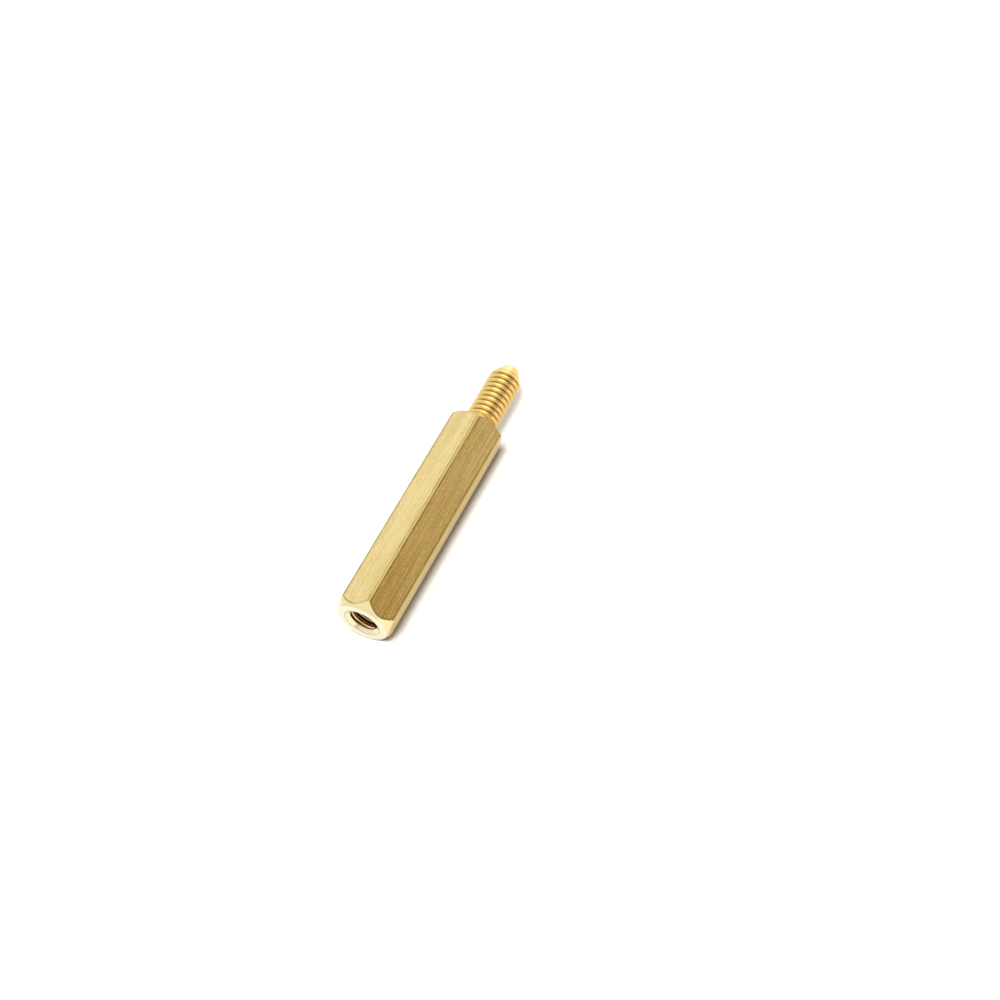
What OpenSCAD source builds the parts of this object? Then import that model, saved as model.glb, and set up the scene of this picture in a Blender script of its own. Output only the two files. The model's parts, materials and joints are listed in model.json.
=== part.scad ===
// Male-female hexagonal standoff: a length of drawn hexagon bar, chamfered at both
// ends in the lathe, with a blind tapped hole in one end and a threaded stud turned
// down on the other. It lies on one of its flats with its axis along X, the stud
// towards +X. The threads are drawn as plain surfaces: the hole at its tapping size
// and the stud at the diameter of its crests. All sizes are in millimetres.

/* [Hexagon bar] */
// Width of the bar across its flats
across_flats = 4; // [3.6:0.1:8]
// Width of the narrow land along each of the bar's six corners
corner_land = 0.12; // [0.05:0.01:0.5]
// Length of the hexagonal body, from the mouth's end face to the shoulder
body_length = 18; // [10:0.5:60]

/* [Mouth end] */
// How far the rim of the mouth's end face lies inside the flats
mouth_rim_inset = 0.12; // [0.05:0.01:0.3]
// Angle between the mouth end's chamfer and the axis
mouth_chamfer_angle = 30; // [20:1:60]

/* [Shoulder end] */
// How far the rim of the shoulder lies inside the flats
shoulder_rim_inset = 0.05; // [0.02:0.01:0.3]
// Angle between the shoulder's chamfer and the axis
shoulder_chamfer_angle = 45; // [20:1:60]

/* [Tapped hole] */
// Diameter of the hole, as drilled for tapping
hole_d = 2.05; // [1.6:0.05:2.6]
// Depth of the hole's full diameter, from the mouth's end face
hole_depth = 8; // [3:0.5:9]
// Point angle of the drill that made the hole
drill_point_angle = 118; // [90:1:140]
// How far the rim of the countersink stands outside the hole's wall
countersink_margin = 0.3; // [0.1:0.05:0.4]
// Included angle of the countersink in the mouth
countersink_angle = 90; // [60:1:120]

/* [Stud] */
// Diameter of the stud over the crests of its thread
stud_d = 2.5; // [2:0.1:3.2]
// Length of the stud, from the shoulder to its tip
stud_length = 6; // [5:0.5:20]
// Length of the relief groove's floor, next to the shoulder
relief_length = 0.5; // [0.2:0.05:1]
// Depth of the relief groove below the crests
relief_depth = 0.26; // [0.1:0.02:0.4]
// Angle between the relief groove's run-out and the axis
relief_run_out_angle = 45; // [30:1:60]
// Diameter of the flat on the stud's point
point_flat_d = 0.8; // [0.4:0.1:1]
// Radius of the rounding between that flat and the cone behind it
point_rounding = 0.35; // [0.05:0.05:0.5]
// Angle between the cone of the stud's point and the axis
point_angle = 28; // [25:1:50]

/* [Hidden] */
brass = [0.84, 0.68, 0.35];
round_fn = 96;
hexagon_fn = 6;
// How far a cut runs past the face that it opens, and a boss runs into its base
overrun = 1;
// Height of the axis above the surface that the standoff lies on
axis_height = across_flats / 2;
corner_r = across_flats / (2 * cos(30));
// A land of that width leaves this much of each flat unused at the corner
land_run = corner_land / (2 * sin(60));
// The lands lie on a barrel of this radius
barrel_r = norm([corner_r - land_run * cos(60), corner_land / 2]);
mouth_rim_r = across_flats / 2 - mouth_rim_inset;
shoulder_rim_r = across_flats / 2 - shoulder_rim_inset;
mouth_chamfer_run = (barrel_r - mouth_rim_r) / tan(mouth_chamfer_angle);
shoulder_chamfer_run = (barrel_r - shoulder_rim_r) / tan(shoulder_chamfer_angle);
hole_r = hole_d / 2;
drill_point_run = hole_r / tan(drill_point_angle / 2);
countersink_slope = tan(countersink_angle / 2);
countersink_run = countersink_margin / countersink_slope;
stud_r = stud_d / 2;
relief_r = stud_r - relief_depth;
relief_run_out = relief_depth / tan(relief_run_out_angle);
point_flat_r = point_flat_d / 2;
// The cone of the point runs into its rounding at this radius, this far behind the tip
point_nose_r = point_flat_r + point_rounding * cos(point_angle);
point_nose_run = point_rounding * (1 - sin(point_angle));
point_run = point_nose_run + (stud_r - point_nose_r) / tan(point_angle);

// Lays a shape that was turned about Z from 0 upwards down along X, mouth end at -X
module laid_down() {
    translate([-(body_length + stud_length) / 2, 0, axis_height])
        rotate([0, 90, 0])
            children();
}

// The drawn bar, cut to length, with a flat underneath once it is laid down
module hexagon_bar() {
    rotate([0, 0, 30])
        cylinder(r = corner_r, h = body_length, $fn = hexagon_fn);
}

// What the lathe leaves of the bar: the barrel of its corners between two chamfers
module turned_envelope() {
    rotate_extrude($fn = round_fn)
        polygon([
            [0, 0],
            [mouth_rim_r, 0],
            [barrel_r, mouth_chamfer_run],
            [barrel_r, body_length - shoulder_chamfer_run],
            [shoulder_rim_r, body_length],
            [0, body_length]
        ]);
}

// A quarter of a disc, from its centre outwards and upwards
module quarter_disc(r) {
    intersection() {
        circle(r = r, $fn = round_fn);
        square(r);
    }
}

// The stud, turned down from the bar: relief groove, crests and a conical point with a
// rounded nose
module stud() {
    translate([0, 0, body_length])
        rotate_extrude($fn = round_fn)
            union() {
                polygon([
                    [0, -overrun],
                    [relief_r, -overrun],
                    [relief_r, relief_length],
                    [stud_r, relief_length + relief_run_out],
                    [stud_r, stud_length - point_run],
                    [point_nose_r, stud_length - point_nose_run],
                    [point_flat_r, stud_length],
                    [0, stud_length]
                ]);
                translate([point_flat_r, stud_length - point_rounding])
                    quarter_disc(point_rounding);
            }
}

// The blind hole: countersunk mouth, wall at the tapping size and the drill's point
module tapped_hole() {
    rotate_extrude($fn = round_fn)
        polygon([
            [0, -overrun],
            [hole_r + countersink_margin + overrun * countersink_slope, -overrun],
            [hole_r, countersink_run],
            [hole_r, hole_depth],
            [0, hole_depth + drill_point_run]
        ]);
}

module standoff() {
    color(brass)
        laid_down()
            difference() {
                union() {
                    intersection() {
                        hexagon_bar();
                        turned_envelope();
                    }
                    stud();
                }
                tapped_hole();
            }
}

standoff();
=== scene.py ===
"""Male-female hexagonal standoff in brass, with both its threads, on a white studio floor."""

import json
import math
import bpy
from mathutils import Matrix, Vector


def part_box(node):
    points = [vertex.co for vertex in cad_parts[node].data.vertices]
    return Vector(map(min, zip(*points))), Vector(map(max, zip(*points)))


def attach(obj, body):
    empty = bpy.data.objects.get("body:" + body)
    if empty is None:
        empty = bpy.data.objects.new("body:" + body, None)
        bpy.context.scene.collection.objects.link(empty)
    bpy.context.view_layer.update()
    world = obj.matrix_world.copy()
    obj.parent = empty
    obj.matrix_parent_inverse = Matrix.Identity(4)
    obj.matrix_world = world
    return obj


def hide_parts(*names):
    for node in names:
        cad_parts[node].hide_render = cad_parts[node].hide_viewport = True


bl_info = {
    "name": "Hexagonal Standoff",
    "version": (1, 0, 0),
    "blender": (4, 5, 0),
    "location": "3D View > Sidebar > Standoff",
    "description": "Makes the threaded standoff, its brass and its studio",
    "category": "Add Mesh",
}

import bpy
import numpy as np

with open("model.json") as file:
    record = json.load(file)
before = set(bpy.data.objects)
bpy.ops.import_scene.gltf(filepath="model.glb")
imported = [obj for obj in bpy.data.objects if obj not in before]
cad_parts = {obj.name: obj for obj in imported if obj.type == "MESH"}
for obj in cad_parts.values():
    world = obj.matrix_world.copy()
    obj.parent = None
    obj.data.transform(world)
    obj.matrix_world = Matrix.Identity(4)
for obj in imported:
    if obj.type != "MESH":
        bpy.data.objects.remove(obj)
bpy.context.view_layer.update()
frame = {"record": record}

NODE = "standoff"
MM = 0.001
LOW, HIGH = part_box(NODE)
MOUNTS = {m["name"]: m for m in frame["record"]["mounts"]}
SHOULDER_X = MOUNTS["shoulder"]["pos_m"][0]
STUD_RADIUS = MOUNTS["stud"]["dims"]["r_mm"] * MM
HOLE_RADIUS = MOUNTS["tapped_hole"]["dims"]["r_mm"] * MM


# ---------------------------------------------------------------- properties


def length(name, description, default):
    """A length property, in metres, to the micrometre."""
    return bpy.props.FloatProperty(
        name=name, description=description, default=default,
        min=0.0, precision=6, subtype="DISTANCE", unit="LENGTH",
    )


def angle(name, description, degrees):
    """An angle property, given here in degrees."""
    return bpy.props.FloatProperty(
        name=name, description=description, default=math.radians(degrees),
        subtype="ANGLE", unit="ROTATION",
    )


def rotation(name, description, degrees):
    """A turn about X, Y and Z as a property, given here in degrees."""
    return bpy.props.FloatVectorProperty(
        name=name, description=description, size=3,
        default=tuple(math.radians(part) for part in degrees), subtype="EULER", unit="ROTATION",
    )


def colour(name, description, default):
    """A colour property, in linear light."""
    return bpy.props.FloatVectorProperty(
        name=name, description=description, default=default,
        size=3, min=0.0, max=1.0, subtype="COLOR",
    )


def share(name, description, default, top=1.0):
    """A plain number from 0 to top."""
    return bpy.props.FloatProperty(
        name=name, description=description, default=default, min=0.0, max=top,
    )


class StandoffBar(bpy.types.PropertyGroup):
    """Sizes of the hexagon bar and of what is turned on its two ends."""

    across_flats: length("Across flats", "Width of the bar across its flats", HIGH.z - LOW.z)
    barrel_radius: length("Barrel radius", "Radius that the bar's corners lie on", HIGH.y)
    corner_blend: length("Corner blend", "How far the corners blend into the flats", 0.006 * MM)
    mouth_rim: length("Mouth rim", "Radius of the mouth's end face", 1.88 * MM)
    mouth_chamfer: angle("Mouth chamfer", "Angle of the mouth's chamfer from the axis", 30)
    shoulder_rim: length("Shoulder rim", "Radius of the shoulder's face", 1.95 * MM)
    shoulder_chamfer: angle("Shoulder chamfer", "Angle of the shoulder's chamfer from the axis", 45)
    edge_round: length("Edge rounding", "Length of the rounding on each turned edge", 0.02 * MM)


class StandoffThreads(bpy.types.PropertyGroup):
    """Sizes of the stud, the tapped hole and the thread that both carry."""

    pitch: length("Pitch", "Advance of the thread in one turn", 0.45 * MM)
    crest_flat: length("Crest flat", "Width of the flat on the thread's crest", 0.18 * MM)
    flank_angle: angle("Flank angle", "Angle of each flank from square to the axis", 30)
    blend: length("Thread blend", "Softness of the thread's crests and roots", 0.07 * MM)
    stud_start: length("Phase", "Place of a crest past the shoulder, at the angle of +Y", 1.107 * MM)
    groove_floor: length("Relief radius", "Radius of the relief groove's floor", STUD_RADIUS - 0.26 * MM)
    groove_length: length("Relief length", "Length of the relief groove's floor", 0.5 * MM)
    point_radius: length("Point radius", "Radius of the flat on the stud's point", 0.4 * MM)
    point_round: length("Point rounding", "Radius of the rounding round that flat", 0.35 * MM)
    point_angle: angle("Point angle", "Angle of the stud's point from the axis", 28)
    hole_depth: length("Hole depth", "Depth of the hole's full diameter", 8.0 * MM)
    thread_depth: length("Thread depth", "Depth to which the hole is tapped", 7.0 * MM)
    tap_lead: length("Tap lead", "Length over which the tap's thread dies away", 1.0 * MM)
    tap_radius: length("Tap radius", "Radius of the thread's root in the hole", 1.27 * MM)
    tap_root: length("Tap root", "Width of the thread's root in the hole", 0.07 * MM)
    tap_start: length("Tap phase", "Place of a root past the mouth, at the angle of +Y", 0.355 * MM)
    tap_run_in: length("Tap run-in", "Length over which the thread opens out of the cone", 0.12 * MM)
    sink_margin: length("Countersink", "How far the countersink stands outside the hole", 0.3 * MM)
    drill_angle: angle("Drill point", "Point angle of the drill", 118)


class StandoffBrass(bpy.types.PropertyGroup):
    """Colours and finish of the brass."""

    drawn: colour("Drawn flats", "Colour of the flats as drawn", (0.945, 0.765, 0.39))
    draw_line: colour("Draw lines", "Colour of the lengthwise draw lines", (0.72, 0.55, 0.21))
    # The corners are darker and rougher than the flats.
    land: colour("Corners", "Colour of the burnished corners of the bar", (0.58, 0.44, 0.14))
    # Painted shade: the dark lines beside the bar's corners, just past the chamfers' edges and round the
    # countersink's edge.
    painted_edge_shade: colour("Creases", "Colour of the dark lines beside corners and edges", (0.30, 0.20, 0.06))
    # The end face's pale, whitish colour is partly plain brass and partly a painted highlight.
    faced: colour("Faced end", "Colour of the mouth's end face", (0.83, 0.785, 0.60))
    chamfer: colour("Chamfers", "Colour of the chamfers and the shoulder", (0.88, 0.77, 0.42))
    crest: colour("Thread crests", "Colour of the stud's thread at its crests", (0.84, 0.60, 0.235))
    # Painted shade: the stud's roots are darker than its crests. The same colour darkens the flats'
    # pits.
    root: colour("Thread roots", "Colour of the stud's thread at its roots", (0.38, 0.32, 0.10))
    bore: colour("Tapped hole", "Colour of the tapped hole at its crests", (0.92, 0.70, 0.38))
    # Partly stain in patches, and mostly painted shade between the turns of the tapped thread.
    stain_and_groove_shade: colour("Stain", "Colour between the turns of the tapped thread", (0.40, 0.16, 0.04))
    drawn_rough: share("Drawn roughness", "Roughness of the flats", 0.26)
    turned_rough: share("Turned roughness", "Roughness of the turned faces", 0.26)
    thread_rough: share("Thread roughness", "Roughness of the threads", 0.20)


class StandoffStudio(bpy.types.PropertyGroup):
    """Camera, floor and light."""

    camera_place: bpy.props.FloatVectorProperty(
        name="Camera", description="Where the camera stands", size=3, precision=6,
        default=(-0.057739, -0.067481, 0.084508), subtype="TRANSLATION", unit="LENGTH",
    )
    camera_turn: rotation("Camera turn", "The camera's turn about X, Y and Z", (42.374, 19.471, -62.863))
    lens: bpy.props.FloatProperty(
        name="Lens", description="Focal length, in millimetres", default=60.66, min=1.0,
        subtype="DISTANCE_CAMERA",
    )
    floor_half: length("Floor", "Half the side of the floor", 1.5)
    floor_colour: colour("Floor", "Colour of the floor", (0.38, 0.365, 0.345))
    floor_mirrored: share("White in metal", "How far the floor is plain white in the metal", 0.6)
    floor_warm: colour("Warm floor", "Colour in the metal of the floor beside it", (1.0, 0.85, 0.62))
    high_lamp: share("High lamp", "Strength of the high lamp that lights the floor alone", 7.4, 20.0)
    high_lamp_turn: rotation("High lamp turn", "Its turn from shining straight down", (15.0, -12.0, 0.0))
    low_lamp: share("Low lamp", "Strength of the low lamp that lights the floor alone", 5.5, 20.0)
    low_lamp_turn: rotation("Low lamp turn", "Its turn from shining straight down", (-60.0, 0.0, 0.0))
    floor_lamp_width: angle("Lamp width", "Apparent width of the floor's two lamps", 24)
    tent: colour("Tent", "Colour of the tent round the part", (1.0, 1.0, 1.0))
    gap: colour("Room", "Colour of the room below the tent's skirt", (0.36, 0.22, 0.01))
    key: share("Overhead light", "Strength of the soft lamp over the tent", 1.2, 4.0)
    window: share("Low light", "Strength of the soft window past the stud", 0.9, 4.0)


GROUPS = {
    "standoff_bar": StandoffBar,
    "standoff_threads": StandoffThreads,
    "standoff_brass": StandoffBrass,
    "standoff_studio": StandoffStudio,
}


# ------------------------------------------------------------------ surfaces

FLATS = 6
SECTOR = 2 * math.pi / FLATS
AXIS_Z = (LOW.z + HIGH.z) / 2
ROUND_STEPS = 6  # rows on the curve of a rounded edge
ROUND_ROWS = ROUND_STEPS + 2  # the same with its two guard rows
GUARD = 0.35  # how far outside a curve its guard row stands, as a share of its length
FACE_STRIP = 0.1 * MM  # width of the bar's first and last rows, on its two end faces


def soft_min(a, b, blend):
    """The lesser of a and b, with the corner between them rounded: the two are mixed by
    their difference over the blend, less a parabola that is deepest where they cross."""
    h = np.clip(0.5 + 0.5 * (b - a) / blend, 0.0, 1.0)
    return b + (a - b) * h - blend * h * (1.0 - h)


def soft_max(a, b, blend):
    """The greater of a and b, with the corner between them rounded."""
    return -soft_min(-a, -b, blend)


def bar_angles(bar):
    """Angles of the bar's columns: a few across each flat and many where it meets the
    barrel of the corners, the same in each of the six sectors, from a corner at +Y round
    towards +Z."""
    meet = math.degrees(math.acos(bar.across_flats / 2 / bar.barrel_radius))
    flat = np.array([0.0, 4.5, 9.0, 13.5, 18.0, 21.5, 24.0, 26.0, 27.2])
    blend = meet + np.array([-0.6, -0.35, -0.2, -0.13, -0.065, 0.0, 0.065, 0.13, 0.2, 0.35, 0.8])
    half = np.concatenate([flat, blend])
    corner = 180.0 / FLATS
    sector = np.concatenate([[-corner], -half[:0:-1], half])
    middles = np.arange(FLATS)[:, None] * 2 * corner + corner
    return np.radians((middles + sector[None, :]).ravel())


def thread_angles(count):
    """Evenly spaced angles for a thread's columns, from +Y round towards +Z."""
    return np.arange(count) * (2 * math.pi / count)


def bar_radius(angles, bar):
    """Radius of the bar's section: half the width over the cosine of the angle from the
    nearest flat's normal, blended into the circle that the corners lie on."""
    off = (angles % SECTOR) - SECTOR / 2
    return soft_min(bar.across_flats / 2 / np.cos(off), bar.barrel_radius, bar.corner_blend)


def rounded_path(corners, rounds, steps=ROUND_STEPS):
    """Rows of (x, radius) along straight runs, with each inner corner rounded by a
    quadratic curve from a point before it to a point after it. A guard row stands just
    outside each end of the curve, so that the shading of the straight runs stays flat."""
    rows = [corners[0]]
    t = np.linspace(0.0, 1.0, steps)[:, None, None]
    for before, corner, after, run in zip(corners, corners[1:], corners[2:], rounds):
        back = (before - corner) / np.linalg.norm(before - corner, axis=-1, keepdims=True)
        ahead = (after - corner) / np.linalg.norm(after - corner, axis=-1, keepdims=True)
        start, end = corner + back * run, corner + ahead * run
        rows.append(start + back * run * GUARD)
        rows.extend((1 - t) ** 2 * start + 2 * t * (1 - t) * corner + t ** 2 * end)
        rows.append(end + ahead * run * GUARD)
    rows.append(corners[-1])
    return np.array(rows)


def at_columns(x, radius, angles):
    """One corner of a path, as (x, radius) at every column. Either may vary by column."""
    return np.stack([np.broadcast_to(x, angles.shape), np.broadcast_to(radius, angles.shape)], -1)


def swept(path, angles):
    """Points of a surface of rows and columns: at each column the (x, radius) path stands
    at that column's angle round the axis."""
    x, radius = path[..., 0], path[..., 1]
    return np.stack([x, radius * np.cos(angles), AXIS_Z + radius * np.sin(angles)], -1)


def bar_surface(bar):
    """Outside of the bar, from the mouth's end face to the shoulder's: each chamfer is a
    cone, and it meets the section where the cone's radius equals the section's, so its
    edge dips at the flats and rises at the corners."""
    angles = bar_angles(bar)
    section = bar_radius(angles, bar)
    mouth_end = LOW.x + (section - bar.mouth_rim) / math.tan(bar.mouth_chamfer)
    shoulder_end = SHOULDER_X - (section - bar.shoulder_rim) / math.tan(bar.shoulder_chamfer)
    corners = [
        at_columns(LOW.x, bar.mouth_rim - FACE_STRIP, angles),
        at_columns(LOW.x, bar.mouth_rim, angles),
        at_columns(mouth_end, section, angles),
        at_columns(shoulder_end, section, angles),
        at_columns(SHOULDER_X, bar.shoulder_rim, angles),
        at_columns(SHOULDER_X, bar.shoulder_rim - FACE_STRIP, angles),
    ]
    path = rounded_path(corners, [bar.edge_round] * 4)
    return swept(path, angles), angles


def thread_wave(place, flat, threads):
    """Height of a thread's form by the distance from the middle of its flat, which is so
    wide: 0 at the flat's edges, and falling from there along the flanks."""
    pitch = threads.pitch
    off = np.abs((place / pitch + 0.5) % 1.0 - 0.5) * pitch
    return (flat / 2 - off) / math.tan(threads.flank_angle)


def helix_rows(low, high, pitch, steps, angles):
    """Places along the axis for a surface whose rows follow the thread: each row starts
    one step further along and gains one pitch in a turn, held between low and high."""
    count = math.ceil((high - low) / pitch * steps) + steps
    starts = low - pitch + np.arange(count + 1) * pitch / steps
    return np.clip(starts[:, None] + pitch * angles[None, :] / (2 * math.pi), low, high)


def point_corner(threads):
    """Radius at which the cone of the point would meet the tip's plane, and the length by
    which its rounding starts before that corner on both sides."""
    run = threads.point_round * math.tan((math.pi / 2 - threads.point_angle) / 2)
    return threads.point_radius + run, run


def stud_radius(x, angles, threads):
    """Radius of the stud: the least of its crests, the run-out of the relief groove, the
    cone of the point and the thread, whose crest moves one pitch along in each turn."""
    past = x - SHOULDER_X
    run_out = threads.groove_floor + np.maximum(past - threads.groove_length, 0.0)
    cone = point_corner(threads)[0] + (HIGH.x - x) * math.tan(threads.point_angle)
    turn = threads.pitch * angles / (2 * math.pi)
    wave = thread_wave(past - threads.stud_start - turn, threads.crest_flat, threads)
    form = soft_max(STUD_RADIUS + wave, threads.groove_floor, threads.blend)
    form = soft_min(form, STUD_RADIUS, threads.blend)
    return soft_min(soft_min(run_out, cone, threads.blend / 2), form, threads.blend / 2)


def hole_radius(x, angles, threads):
    """Radius of the tapped hole: the greatest of the drilled wall, the countersink's cone
    and the thread's groove, which opens out round the cone's foot and dies away at the end
    of the tap's cut."""
    depth = x - LOW.x
    sink = HOLE_RADIUS + threads.sink_margin - depth
    turn = threads.pitch * angles / (2 * math.pi)
    wave = thread_wave(depth - threads.tap_start - turn, threads.tap_root, threads)
    opening = (depth - threads.sink_margin) / threads.tap_run_in + 0.5
    fade = np.clip(np.minimum((threads.thread_depth - depth) / threads.tap_lead, opening), 0.0, 1.0)
    root = HOLE_RADIUS + (threads.tap_radius - HOLE_RADIUS) * fade
    groove = soft_min(root + wave, root, threads.blend / 2)
    wall = soft_max(groove, HOLE_RADIUS, threads.blend / 2)
    return soft_max(wall, sink, threads.blend / 4)


# -------------------------------------------------------------------- meshes


SAME_PLACE = MM * 1e-6  # points in the same cell of this size become one


class Shell:
    """Points, triangles and finishes gathered along one path, from the bottom of the hole
    over the outside to the point of the stud."""

    def __init__(self):
        self.points, self.triangles, self.finishes = [], [], []
        self.count = 0

    def add_points(self, points):
        """Adds a block of points and returns their numbers in the same rows and columns."""
        flat = points.reshape(-1, 3)
        numbers = self.count + np.arange(len(flat)).reshape(points.shape[:-1])
        self.points.append(flat)
        self.count += len(flat)
        return numbers

    def add_triangles(self, triangles, finish):
        """Adds triangles of one finish."""
        triangles = np.asarray(triangles).reshape(-1, 3)
        self.triangles.append(triangles)
        self.finishes.append(np.full(len(triangles), finish, np.int32))

    def rows(self, numbers, finish):
        """Closes the quads between neighbouring rows, and from the last column round to
        the first, as two triangles each."""
        here, there = numbers, np.roll(numbers, -1, axis=1)
        self.quads(here[:-1], there[:-1], there[1:], here[1:], finish)

    def quads(self, a, b, c, d, finish):
        """Two triangles for each quad a, b, c, d."""
        self.add_triangles(np.stack([a, b, c], -1), finish)
        self.add_triangles(np.stack([a, c, d], -1), finish)

    def helix(self, numbers, steps, finish, inward=False):
        """Quads of a surface whose rows follow a thread. The last column meets the first
        one pitch, that is as many rows as there are steps in a pitch, further along."""
        last = len(numbers) - 1
        along = np.minimum(np.arange(len(numbers)) + steps, last)
        there = np.concatenate([numbers[:, 1:], numbers[along, :1]], axis=1)
        a, b, c, d = numbers[:-1], there[:-1], there[1:], numbers[1:]
        if inward:
            b, d = d, b
        self.quads(a, b, c, d, finish)

    def zip_rings(self, near, far, near_angles, far_angles, finish):
        """Triangles between two rings of unlike numbers of points. Each side of each ring
        is one triangle, and they come in the order of their middle angles."""
        turn = 2 * math.pi
        sides = []
        for angles in (near_angles, far_angles):
            sides.append((angles + np.append(angles[1:], angles[0] + turn)) / 2)
        order = np.argsort(np.concatenate(sides), kind="stable")
        is_near = order < len(near)
        done_near = np.cumsum(is_near) - is_near
        done_far = np.cumsum(~is_near) - ~is_near
        n0, n1 = near[done_near % len(near)], near[(done_near + 1) % len(near)]
        f0, f1 = far[done_far % len(far)], far[(done_far + 1) % len(far)]
        self.add_triangles(np.stack([n0, n1, f0], -1)[is_near], finish)
        self.add_triangles(np.stack([n0, f1, f0], -1)[~is_near], finish)

    def cap(self, ring, centre, finish, first=False):
        """A fan between a ring and a point on the axis, which ends or begins the path."""
        point = np.full(len(ring), self.add_points(np.array([centre]))[0])
        after = np.roll(ring, -1)
        fan = [point, after, ring] if first else [ring, after, point]
        self.add_triangles(np.stack(fan, -1), finish)

    def mesh(self, name, materials):
        """A closed mesh: points at the same place become one, triangles that this leaves
        without area are dropped, and the rest are shaded smooth."""
        points = np.concatenate(self.points)
        triangles = np.concatenate(self.triangles)
        finishes = np.concatenate(self.finishes)
        places = np.round(points / SAME_PLACE).astype(np.int64)
        _, first, same = np.unique(places, axis=0, return_index=True, return_inverse=True)
        triangles = same.reshape(-1)[triangles]
        a, b, c = triangles.T
        whole = (a != b) & (b != c) & (c != a)
        triangles, finishes = triangles[whole], finishes[whole]
        mesh = bpy.data.meshes.new(name)
        mesh.vertices.add(len(first))
        mesh.vertices.foreach_set("co", points[first].astype(np.float32).ravel())
        mesh.loops.add(triangles.size)
        mesh.loops.foreach_set("vertex_index", triangles.astype(np.int32).ravel())
        mesh.polygons.add(len(triangles))
        mesh.polygons.foreach_set("loop_start", np.arange(0, triangles.size, 3, dtype=np.int32))
        mesh.polygons.foreach_set("material_index", finishes)
        for material in materials:
            mesh.materials.append(material)
        mesh.update(calc_edges=True)
        mesh.shade_smooth()
        if mesh.validate(verbose=False):
            raise RuntimeError(f"{name} has faces that Blender had to repair")
        return mesh


DRAWN, TURNED, STUD, BORE = range(4)

BORE_COLUMNS, BORE_STEPS = 144, 16  # columns round the thread, and rows in one pitch of it
DRILL_TIP = 0.04  # radius of the drill cone's smallest ring, as a share of the hole's
DRILL_ROUND = 0.05 * MM  # rounding where the drill's cone meets the wall
LIP_DEPTH = 0.03 * MM  # depth in the countersink at which the thread's rows begin
LIP_ROUND = 0.012 * MM  # rounding of the edge between the countersink and the face
LIP_STRIP = 0.06 * MM  # width of the strip of the face that is made with the hole

STUD_COLUMNS, STUD_STEPS = 120, 20  # as for the bore
NECK_STRIP = 0.2 * MM  # width of the strip of the shoulder that is made with the stud
NECK_ROUND = 0.1 * MM  # rounding where the relief groove meets the shoulder
POINT_LENGTH = 0.3 * MM  # distance from the tip at which the thread's rows end
POINT_STEPS = 10  # rows on the curve round the point's flat
POINT_RING = 0.1 * MM  # radius of the smallest ring on the flat

SEAM = 0.02 * MM  # gap between a plain wall's last row and the thread's nearest


def add_hole(shell, threads):
    """The drill's cone, the plain wall below the thread, the tapped wall and the
    countersink. It ends at a ring on the mouth's face, whose numbers it returns."""
    angles = thread_angles(BORE_COLUMNS)
    bottom = LOW.x + threads.hole_depth
    tapped = LOW.x + threads.thread_depth
    cone = HOLE_RADIUS / math.tan(threads.drill_angle / 2)
    wall = [
        at_columns(bottom + cone * (1 - DRILL_TIP), HOLE_RADIUS * DRILL_TIP, angles),
        at_columns(bottom, HOLE_RADIUS, angles),
        at_columns(tapped + SEAM, HOLE_RADIUS, angles),
    ]
    plain = shell.add_points(swept(rounded_path(wall, [DRILL_ROUND]), angles))
    shell.cap(plain[0], (bottom + cone, 0.0, AXIS_Z), BORE, first=True)
    shell.rows(plain, BORE)
    lip_x = LOW.x + LIP_DEPTH
    x = helix_rows(lip_x, tapped, threads.pitch, BORE_STEPS, angles)
    radius = hole_radius(x, angles, threads)
    screw = shell.add_points(swept(np.stack([x, radius], -1), angles))
    shell.rows(np.stack([plain[-1], screw[-1]]), BORE)
    shell.helix(screw, BORE_STEPS, BORE, inward=True)
    rim = HOLE_RADIUS + threads.sink_margin
    lip = [
        at_columns(lip_x, rim - (lip_x - LOW.x), angles),
        at_columns(LOW.x, rim, angles),
        at_columns(LOW.x, rim + LIP_STRIP, angles),
    ]
    lip = shell.add_points(swept(rounded_path(lip, [LIP_ROUND])[1:], angles))
    shell.rows(np.concatenate([screw[:1], lip]), TURNED)
    return lip[-1], angles


def add_bar(shell, bar, mouth, mouth_angles):
    """The faced mouth, the chamfers and the flats, whose finishes meet halfway round the
    edges. It ends at a ring on the shoulder, whose numbers it returns."""
    points, angles = bar_surface(bar)
    numbers = shell.add_points(points)
    shell.zip_rings(mouth, numbers[0], mouth_angles, angles, TURNED)
    middle, half_edge = len(numbers) // 2, ROUND_ROWS // 2
    first, last = middle - half_edge - 1, middle + half_edge
    shell.rows(numbers[:first + 1], TURNED)
    shell.rows(numbers[first:last + 1], DRAWN)
    shell.rows(numbers[last:], TURNED)
    return numbers[-1], angles


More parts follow.
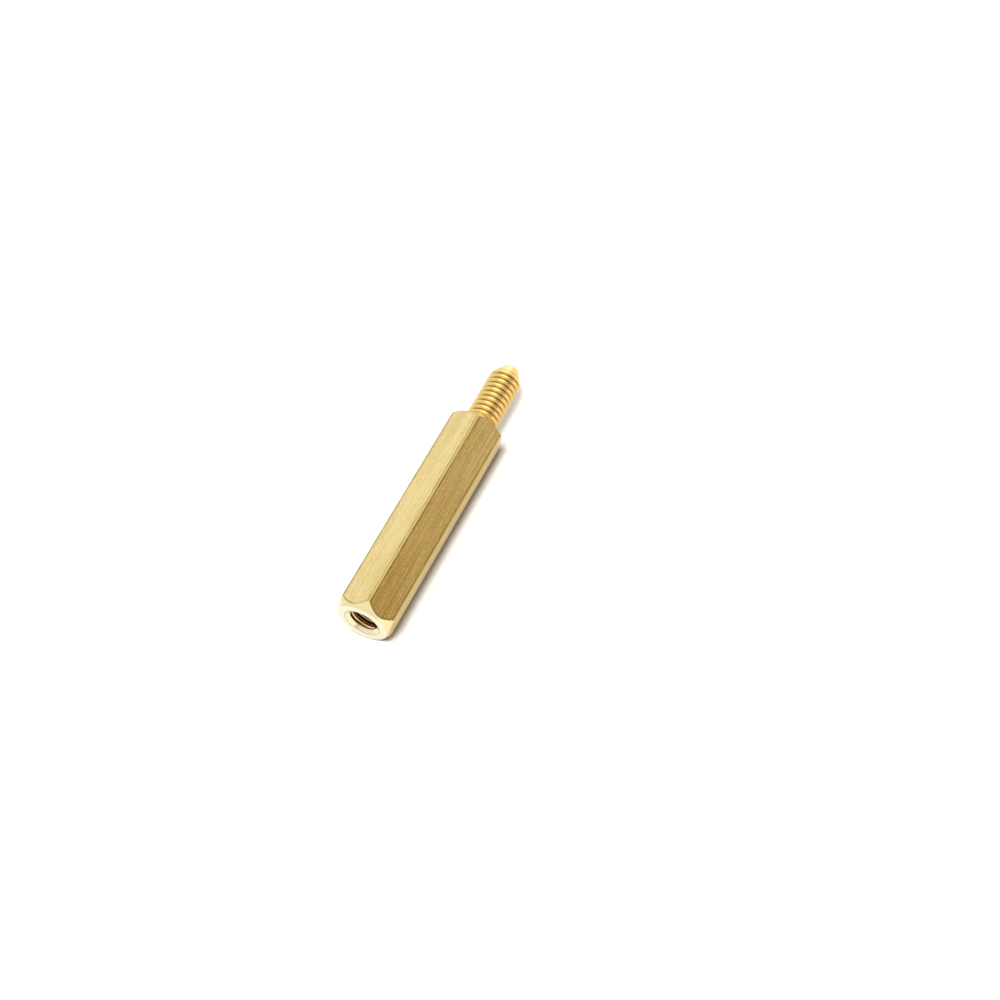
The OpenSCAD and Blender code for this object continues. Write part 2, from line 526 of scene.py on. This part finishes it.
def add_stud(shell, threads, shoulder, shoulder_angles):
    """The relief groove, the threaded stud and its point."""
    angles = thread_angles(STUD_COLUMNS)
    groove_end = SHOULDER_X + threads.groove_length
    groove = [
        at_columns(SHOULDER_X, threads.groove_floor + NECK_STRIP, angles),
        at_columns(SHOULDER_X, threads.groove_floor, angles),
        at_columns(groove_end - SEAM, threads.groove_floor, angles),
    ]
    neck = shell.add_points(swept(rounded_path(groove, [NECK_ROUND]), angles))
    shell.zip_rings(shoulder, neck[0], shoulder_angles, angles, TURNED)
    curve = 2  # the row at which the neck's rounding begins
    shell.rows(neck[:curve + 1], TURNED)
    shell.rows(neck[curve:], STUD)
    point_x = HIGH.x - POINT_LENGTH
    x = helix_rows(groove_end, point_x, threads.pitch, STUD_STEPS, angles)
    radius = stud_radius(x, angles, threads)
    screw = shell.add_points(swept(np.stack([x, radius], -1), angles))
    shell.rows(np.stack([neck[-1], screw[0]]), STUD)
    shell.helix(screw, STUD_STEPS, STUD)
    corner, run = point_corner(threads)
    tip = [
        at_columns(point_x, radius[-1], angles),
        at_columns(HIGH.x, corner, angles),
        at_columns(HIGH.x, POINT_RING, angles),
    ]
    tip = shell.add_points(swept(rounded_path(tip, [run], POINT_STEPS)[1:], angles))
    shell.rows(np.concatenate([screw[-1:], tip]), STUD)
    shell.cap(tip[-1], (HIGH.x, 0.0, AXIS_Z), STUD)


# ----------------------------------------------------------------- materials


WHITE = (1.0, 1.0, 1.0)
DRAWN_RELIEF = 0.004 * MM  # depth of the drawn flats' texture
TURNED_RELIEF = 0.002 * MM  # depth of the tool's rings


class Wire:
    """A number in a shader. Operators on it add Math nodes to the same tree."""

    def __init__(self, shader, socket):
        self.shader, self.socket = shader, socket

    def math(self, operation, *others):
        """One Math node with this number first."""
        inputs = dict(enumerate((self, *others)))
        return self.shader.add("ShaderNodeMath", {"operation": operation}, inputs)

    def __add__(self, other):
        return self.math("ADD", other)

    def __sub__(self, other):
        return self.math("SUBTRACT", other)

    def __mul__(self, other):
        return self.math("MULTIPLY", other)

    def __radd__(self, other):
        return self.math("ADD", other)

    def __rmul__(self, other):
        return self.math("MULTIPLY", other)

    def __rsub__(self, other):
        return (self * -1.0) + other

    def ramp(self, low, high):
        """0 below low, 1 above high, and smooth between. High may be the lesser."""
        settings = {"interpolation_type": "SMOOTHSTEP"}
        inputs = {"Value": self, "From Min": low, "From Max": high}
        return self.shader.add("ShaderNodeMapRange", settings, inputs)


class Shader:
    """A node tree, and the few ways in which nodes are added to it."""

    def __init__(self, tree):
        self.tree = tree
        tree.nodes.clear()

    def add(self, kind, settings=None, inputs=None, output=0):
        """Adds a node of that type, with its settings and then the values or links of its
        sockets, and returns one of its outputs."""
        node = self.tree.nodes.new(kind)
        for name, value in (settings or {}).items():
            setattr(node, name, value)
        for name, value in (inputs or {}).items():
            if isinstance(value, Wire):
                self.tree.links.new(value.socket, node.inputs[name])
            else:
                node.inputs[name].default_value = value
        if not node.outputs:
            return None
        return Wire(self, node.outputs[output])

    def mix(self, factor, low, high):
        """A colour between two, by a number."""
        inputs = {0: factor, 6: self.paint(low), 7: self.paint(high)}
        return self.add("ShaderNodeMix", {"data_type": "RGBA"}, inputs, output=2)

    @staticmethod
    def paint(value):
        """A colour with its alpha, or a link as it is."""
        return value if isinstance(value, Wire) else (*value, 1.0)

    def vector(self, operation, *values, output=0):
        """One Vector Math node."""
        inputs = dict(enumerate(values))
        return self.add("ShaderNodeVectorMath", {"operation": operation}, inputs, output)

    def parts(self, vector):
        """The three numbers that a vector is made of."""
        first = self.add("ShaderNodeSeparateXYZ", None, {0: vector})
        return [Wire(self, socket) for socket in first.socket.node.outputs]

    def noise(self, place, scale, detail, rough):
        """Noise from 0 to 1, at so many features a unit along each axis of the place."""
        stretched = self.vector("MULTIPLY", place, scale)
        inputs = {"Vector": stretched, "Scale": 1.0, "Detail": detail, "Roughness": rough}
        return self.add("ShaderNodeTexNoise", None, inputs)


class Finish(Shader):
    """A brass finish on a piece's own coordinates, in millimetres from its axis. So each
    length in the finishes is in millimetres, and noise is in features a millimetre."""

    def __init__(self, name):
        self.material = bpy.data.materials.new(name)
        self.material.use_nodes = True
        super().__init__(self.material.node_tree)
        place = self.add("ShaderNodeTexCoord", output="Object")
        centred = self.add("ShaderNodeMapping", None, {"Vector": place, "Location": (0, 0, -AXIS_Z)})
        inputs = {0: centred, "Scale": 1.0 / MM}
        self.place = self.add("ShaderNodeVectorMath", {"operation": "SCALE"}, inputs)
        section = self.vector("MULTIPLY", self.place, (0.0, 1.0, 1.0))
        self.radius = self.vector("LENGTH", section, output="Value")
        self.along = self.parts(self.place)[0]
        self.turned_place = self.add("ShaderNodeCombineXYZ", None, {0: self.along, 1: self.radius})

    def past_edge(self, rim, slant, face_x, way):
        """How far a place on the flats is past the edge of a chamfer, along the axis: the
        length of its cone from the rim to that radius, plus the way past the face, where
        way is -1 at the mouth and 1 at the shoulder. It is negative short of the edge."""
        slope = 1 / math.tan(slant)
        return self.radius * slope + self.along * way - (rim * slope + face_x * way) / MM

    def metal(self, base, roughness, height, depth):
        """The metal itself: its colour, its roughness, and a relief so many metres deep."""
        bump = self.add("ShaderNodeBump", None, {"Height": height, "Strength": 1.0, "Distance": depth})
        inputs = {"Base Color": base, "Metallic": 1.0, "Roughness": roughness, "Normal": bump}
        shader = self.add("ShaderNodeBsdfPrincipled", None, inputs)
        self.add("ShaderNodeOutputMaterial", None, {"Surface": shader})
        return self.material


def drawn_brass(brass, bar):
    """Flats as they left the drawing die: lines of many widths along the bar, a fine grain,
    a few pits, corners darker and rougher than the flats, and painted shade in dark lines
    beside the corners and just past the chamfers' edges."""
    f = Finish("drawn brass")
    broad = f.noise(f.place, (0.04, 3.4, 3.4), 3.0, 0.6)
    fine = f.noise(f.place, (0.12, 22.0, 22.0), 3.0, 0.65)
    grain = f.noise(f.place, (0.7, 14.0, 14.0), 3.0, 0.7)
    speckle = f.noise(f.place, (3.5, 12.0, 12.0), 3.0, 0.75)
    scratch = f.noise(f.place, (0.03, 4.5, 4.5), 1.0, 0.5).ramp(0.56, 0.61)
    cloud = f.noise(f.place, (0.3, 1.1, 1.1), 1.0, 0.5)
    line = (broad * 0.15 + fine * 0.35 + grain * 0.25 + speckle * 0.25).ramp(0.555, 0.445)
    line = line.math("MAXIMUM", scratch * 0.8)
    base = f.mix(line, brass.drawn, brass.draw_line)
    base = f.mix(cloud.ramp(0.45, 0.75) * 0.5, base, brass.drawn)
    pits = f.noise(f.place, (5.0, 7.0, 7.0), 2.0, 0.5).ramp(0.70, 0.78)
    edge_shade_noise = f.noise(f.place, (0.7, 1.0, 1.0), 2.0, 0.6)
    corner = bar.barrel_radius / MM
    land = f.radius.ramp(corner - 0.014, corner - 0.004)
    beside = f.radius.ramp(corner - 0.054, corner - 0.034) * (1.0 - land)
    mouth = f.past_edge(bar.mouth_rim, bar.mouth_chamfer, LOW.x, -1)
    shoulder = f.past_edge(bar.shoulder_rim, bar.shoulder_chamfer, SHOULDER_X, 1)
    edge = mouth.ramp(-0.14, -0.03).math("MAXIMUM", shoulder.ramp(-0.10, -0.02))
    base = f.mix(pits * 0.5 * (1.0 - land), base, brass.root)
    # The corners take their own darker colour.
    base = f.mix(land, base, brass.land)
    # Painted shade: dark lines on the flats beside each corner and just past each chamfer's edge, broken
    # into dashes by noise.
    painted_edge_shade = beside.math("MAXIMUM", edge * (1.0 - land))
    base = f.mix(painted_edge_shade * (edge_shade_noise.ramp(0.30, 0.70) * 0.5 + 0.40), base, brass.painted_edge_shade)
    rough = (fine - 0.5) * 0.2 + (speckle - 0.5) * 0.15 + brass.drawn_rough
    rough = rough + pits * 0.25 + land * 0.25
    height = broad * 0.2 + fine * 0.3 + grain * 0.2 + speckle * 0.3 - pits * 0.5 - scratch * 0.5
    return f.metal(base, rough, height, DRAWN_RELIEF)


def turned_brass(brass, bar, threads):
    """Faces cut in the lathe: fine rings about the axis, uneven in depth, yellower on the
    chamfers and the shoulder than on the mouth's end face, whose paler colour is partly a
    painted highlight. Painted shade makes a dark line where the countersink meets that face."""
    f = Finish("turned brass")
    ring = f.noise(f.turned_place, (14.0, 14.0, 1.0), 3.0, 0.7)
    arc = f.noise(f.turned_place, (5.0, 5.0, 1.0), 2.0, 0.5)
    haze = f.noise(f.place, (3.0, 3.0, 3.0), 3.0, 0.6)
    rim, sink = bar.mouth_rim / MM, (HOLE_RADIUS + threads.sink_margin) / MM
    mouth = f.along.ramp(0.0, -1.0)
    # The end face's paler colour is partly a painted highlight.
    base = f.mix(f.radius.ramp(rim + 0.03, rim - 0.01) * mouth, brass.chamfer, brass.faced)
    shade = (0.88, 0.82, 0.68)
    dark = tuple(part * less for part, less in zip(brass.chamfer, shade))
    base = f.mix((arc * 0.6 + ring * 0.4).ramp(0.47, 0.32) * 0.5, base, dark)
    # Painted shade: a dark ring on the end face round the countersink's edge.
    lip = f.radius.ramp(sink - 0.03, sink) * f.radius.ramp(sink + 0.06, sink + 0.02) * mouth
    base = f.mix(lip * (haze.ramp(0.30, 0.60) * 0.45 + 0.3), base, brass.painted_edge_shade)
    rough = (ring - 0.5) * 0.15 + brass.turned_rough
    return f.metal(base, rough, ring, TURNED_RELIEF)


def thread_brass(brass, threads):
    """The stud: bright on its thread's crests, its neck and its point, and darker down to
    the thread's roots, with painted shade."""
    f = Finish("threaded brass")
    ring = f.noise(f.turned_place, (26.0, 26.0, 1.0), 3.0, 0.6)
    haze = f.noise(f.place, (5.0, 5.0, 5.0), 3.0, 0.6)
    tip = HIGH.x / MM
    cone = (tip - f.along) * math.tan(threads.point_angle) + point_corner(threads)[0] / MM
    below = cone.math("MINIMUM", STUD_RADIUS / MM) - f.radius + (haze - 0.5) * 0.08
    groove = (SHOULDER_X + threads.groove_length) / MM
    low = below.ramp(0.04, 0.22) * f.along.ramp(tip - 0.4, tip - 0.7)
    low = low * f.along.ramp(groove, groove + 0.3)
    # Painted shade: the colour darkens from the crests down to the roots.
    base = f.mix(low * 0.9, brass.crest, brass.root)
    rough = (ring - 0.5) * 0.15 + (haze - 0.5) * 0.1 + low * 0.1 + brass.thread_rough
    return f.metal(base, rough, ring, TURNED_RELIEF)


def bore_brass(brass, threads):
    """The tapped hole: a little stained in patches, with painted shade in brown between its
    thread's crests and dark deep down. Its countersink is midway in colour between the end
    face and the chamfers."""
    f = Finish("tapped brass")
    ring = f.noise(f.turned_place, (20.0, 20.0, 1.0), 3.0, 0.6)
    haze = f.noise(f.place, (4.0, 4.0, 4.0), 3.0, 0.6)
    depth = f.along - LOW.x / MM
    wall, foot = HOLE_RADIUS / MM, threads.sink_margin / MM
    # Stain in patches, and painted shade in brown between the thread's crests.
    stain_and_groove_shade = haze.ramp(0.4, 0.7) * 0.3 + f.radius.ramp(wall + 0.025, wall + 0.135) * 0.7
    base = f.mix(stain_and_groove_shade, brass.bore, brass.stain_and_groove_shade)
    # Painted shade: darker deep down in the hole.
    deep = tuple(part * 0.3 for part in brass.stain_and_groove_shade)
    base = f.mix(depth.ramp(0.5, 1.3) * 0.6, base, deep)
    rim = wall + foot
    sink = depth.ramp(foot + 0.01, foot - 0.03) * (f.radius + depth).ramp(rim - 0.045, rim - 0.015)
    # The end face's colour is partly a painted highlight, so half of this colour is too.
    midway = tuple((a + b) / 2 for a, b in zip(brass.faced, brass.chamfer))
    base = f.mix(sink, base, midway)
    rough = (ring - 0.5) * 0.15 + brass.thread_rough
    return f.metal(base, rough, ring, TURNED_RELIEF)


# ----------------------------------------------------------------- operators


def place_object(name, data):
    """Links a new object with that mesh, lamp or camera into the scene, at the origin."""
    made = bpy.data.objects.new(name, data)
    bpy.context.scene.collection.objects.link(made)
    return made


class STANDOFF_OT_make_part(bpy.types.Operator):
    """Make the standoff from one closed mesh: tapped hole, hexagon bar and threaded stud"""

    bl_idname = "standoff.make_part"
    bl_label = "Make Standoff"
    bl_options = {"REGISTER", "UNDO"}

    def execute(self, context):
        scene = context.scene
        brass, bar, threads = scene.standoff_brass, scene.standoff_bar, scene.standoff_threads
        shell = Shell()
        mouth, mouth_angles = add_hole(shell, threads)
        shoulder, shoulder_angles = add_bar(shell, bar, mouth, mouth_angles)
        add_stud(shell, threads, shoulder, shoulder_angles)
        finishes = [
            drawn_brass(brass, bar), turned_brass(brass, bar, threads),
            thread_brass(brass, threads), bore_brass(brass, threads),
        ]
        part = place_object("threaded_standoff", shell.mesh("threaded standoff", finishes))
        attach(part, "root")
        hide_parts(NODE)
        return {"FINISHED"}


WARM_REACH = 1.5 * MM  # how far from the part the floor is warm
WARM_EDGE = 0.5 * MM  # softness of that warmth at the mouth
KEY_WAY = (0.487, -0.25, 0.836)  # from the part to the overhead light
NEAR_WAY = (0.0, 0.6, 0.8)  # away from the skirt on the near side
WINDOW_WAY = (0.965, 0.2, 0.17)  # from the part to the low window
SENSOR_WIDTH = 36.0  # in millimetres
CLIP_START, CLIP_END = 0.002, 20.0  # in metres


def make_floor(studio):
    """A plain floor, lit white, that keeps the part's shadow. What looks at it in the metal
    or through glass sees more of the white and less of the shadow, and warm close beside
    the part, where the brass throws its own light on the floor."""
    half = studio.floor_half
    corners = [(-half, -half, 0), (half, -half, 0), (half, half, 0), (-half, half, 0)]
    mesh = bpy.data.meshes.new("studio floor")
    mesh.from_pydata(corners, [], [(0, 1, 2, 3)])
    material = bpy.data.materials.new("white floor")
    material.use_nodes = True
    shader = Shader(material.node_tree)
    glossy = shader.add("ShaderNodeLightPath", output="Is Glossy Ray")
    through = shader.add("ShaderNodeLightPath", output="Is Transmission Ray")
    mirrored = glossy.math("MAXIMUM", through) * studio.floor_mirrored
    x, y, _ = shader.parts(shader.add("ShaderNodeTexCoord", output="Object"))
    beside = y.math("ABSOLUTE").ramp(HIGH.y + WARM_REACH, HIGH.y)
    beside = beside * x.ramp(LOW.x - WARM_EDGE, LOW.x + WARM_EDGE)
    seen = shader.mix(beside, WHITE, studio.floor_warm)
    matt = shader.add("ShaderNodeBsdfDiffuse", None, {"Color": (*studio.floor_colour, 1.0)})
    white = shader.add("ShaderNodeEmission", None, {"Color": seen, "Strength": 1.0})
    surface = shader.add("ShaderNodeMixShader", None, {0: mirrored, 1: matt, 2: white})
    shader.add("ShaderNodeOutputMaterial", None, {"Surface": surface})
    mesh.materials.append(material)
    return place_object("studio_floor", mesh)


def make_floor_lamps(studio, floor):
    """Two broad soft lamps that light the floor alone. They don't shine on the part, which
    gets only what a white floor throws back. One stands high on the near side, so that the
    bar's shadow is dark and narrow. The other is low on the far side, and shines in under
    the stud."""
    lit = bpy.data.collections.new("lit by the floor lamps")
    lit.objects.link(floor)
    lamps = (
        ("studio_high_lamp", studio.high_lamp, studio.high_lamp_turn),
        ("studio_low_lamp", studio.low_lamp, studio.low_lamp_turn),
    )
    for name, strength, turn in lamps:
        data = bpy.data.lights.new(name, "SUN")
        data.energy, data.angle = strength, studio.floor_lamp_width
        lamp = place_object(name, data)
        lamp.rotation_euler = turn
        lamp.light_linking.receiver_collection = lit


def make_tent(studio):
    """Light from all round: a pale tent with a soft lamp overhead and a low window past
    the stud, and below the tent's skirt a warm, darker room on the near side and past the
    mouth. The camera sees it as plain white."""
    world = bpy.data.worlds.new("studio tent")
    world.use_nodes = True
    bpy.context.scene.world = world
    shader = Shader(world.node_tree)
    way = shader.add("ShaderNodeTexCoord", output="Generated")
    key = shader.vector("DOT_PRODUCT", way, KEY_WAY, output="Value").ramp(0.91, 0.99)
    near = shader.vector("DOT_PRODUCT", way, NEAR_WAY, output="Value").ramp(0.15, -0.18)
    window = shader.vector("DOT_PRODUCT", way, WINDOW_WAY, output="Value").ramp(0.93, 0.985)
    x, _, height = shader.parts(way)
    beside = near * x.ramp(-0.3, 0.1) * x.ramp(0.95, 0.30)
    past_mouth = height.ramp(0.35, 0.10) * x.ramp(-0.86, -0.95)
    tent = shader.mix(beside.math("MAXIMUM", past_mouth), studio.tent, studio.gap)
    glow = key * studio.key + window * studio.window + 1.0
    light = shader.add("ShaderNodeBackground", None, {"Color": tent, "Strength": glow})
    white = shader.add("ShaderNodeBackground", None, {"Color": (*WHITE, 1.0), "Strength": 1.0})
    camera = shader.add("ShaderNodeLightPath", output="Is Camera Ray")
    surface = shader.add("ShaderNodeMixShader", None, {0: camera, 1: light, 2: white})
    shader.add("ShaderNodeOutputWorld", None, {"Surface": surface})


def make_camera(studio):
    """The camera, at the height, side and tilt at which the part is looked at."""
    data = bpy.data.cameras.new("studio camera")
    data.lens, data.sensor_width = studio.lens, SENSOR_WIDTH
    data.clip_start, data.clip_end = CLIP_START, CLIP_END
    camera = place_object("studio_camera", data)
    camera.location = studio.camera_place
    camera.rotation_euler = studio.camera_turn
    bpy.context.scene.camera = camera


class STANDOFF_OT_make_studio(bpy.types.Operator):
    """Make the floor and its lamps, the light tent and the camera"""

    bl_idname = "standoff.make_studio"
    bl_label = "Make Studio"
    bl_options = {"REGISTER", "UNDO"}

    def execute(self, context):
        studio = context.scene.standoff_studio
        floor = make_floor(studio)
        make_floor_lamps(studio, floor)
        make_tent(studio)
        make_camera(studio)
        context.scene.view_settings.view_transform = "Standard"
        return {"FINISHED"}


class STANDOFF_PT_panel(bpy.types.Panel):
    """Lists the operators and the properties that they read"""

    bl_idname = "STANDOFF_PT_panel"
    bl_label = "Standoff"
    bl_space_type = "VIEW_3D"
    bl_region_type = "UI"
    bl_category = "Standoff"

    def draw(self, context):
        for operator in OPERATORS:
            self.layout.operator(operator.bl_idname)
        for name, group in GROUPS.items():
            box = self.layout.box()
            box.label(text=group.__doc__)
            for field in group.__annotations__:
                box.prop(getattr(context.scene, name), field)


OPERATORS = (STANDOFF_OT_make_part, STANDOFF_OT_make_studio)
CLASSES = (*GROUPS.values(), *OPERATORS, STANDOFF_PT_panel)


def register():
    """Registers the classes, and gives each scene its properties."""
    for cls in CLASSES:
        bpy.utils.register_class(cls)
    for name, group in GROUPS.items():
        setattr(bpy.types.Scene, name, bpy.props.PointerProperty(type=group))


def unregister():
    """Takes away what register added, in reverse."""
    for name in GROUPS:
        delattr(bpy.types.Scene, name)
    for cls in reversed(CLASSES):
        bpy.utils.unregister_class(cls)


def main():
    """Registers the classes, and makes the part and its studio."""
    register()
    bpy.ops.standoff.make_part()
    bpy.ops.standoff.make_studio()


if __name__ == "__main__":
    main()
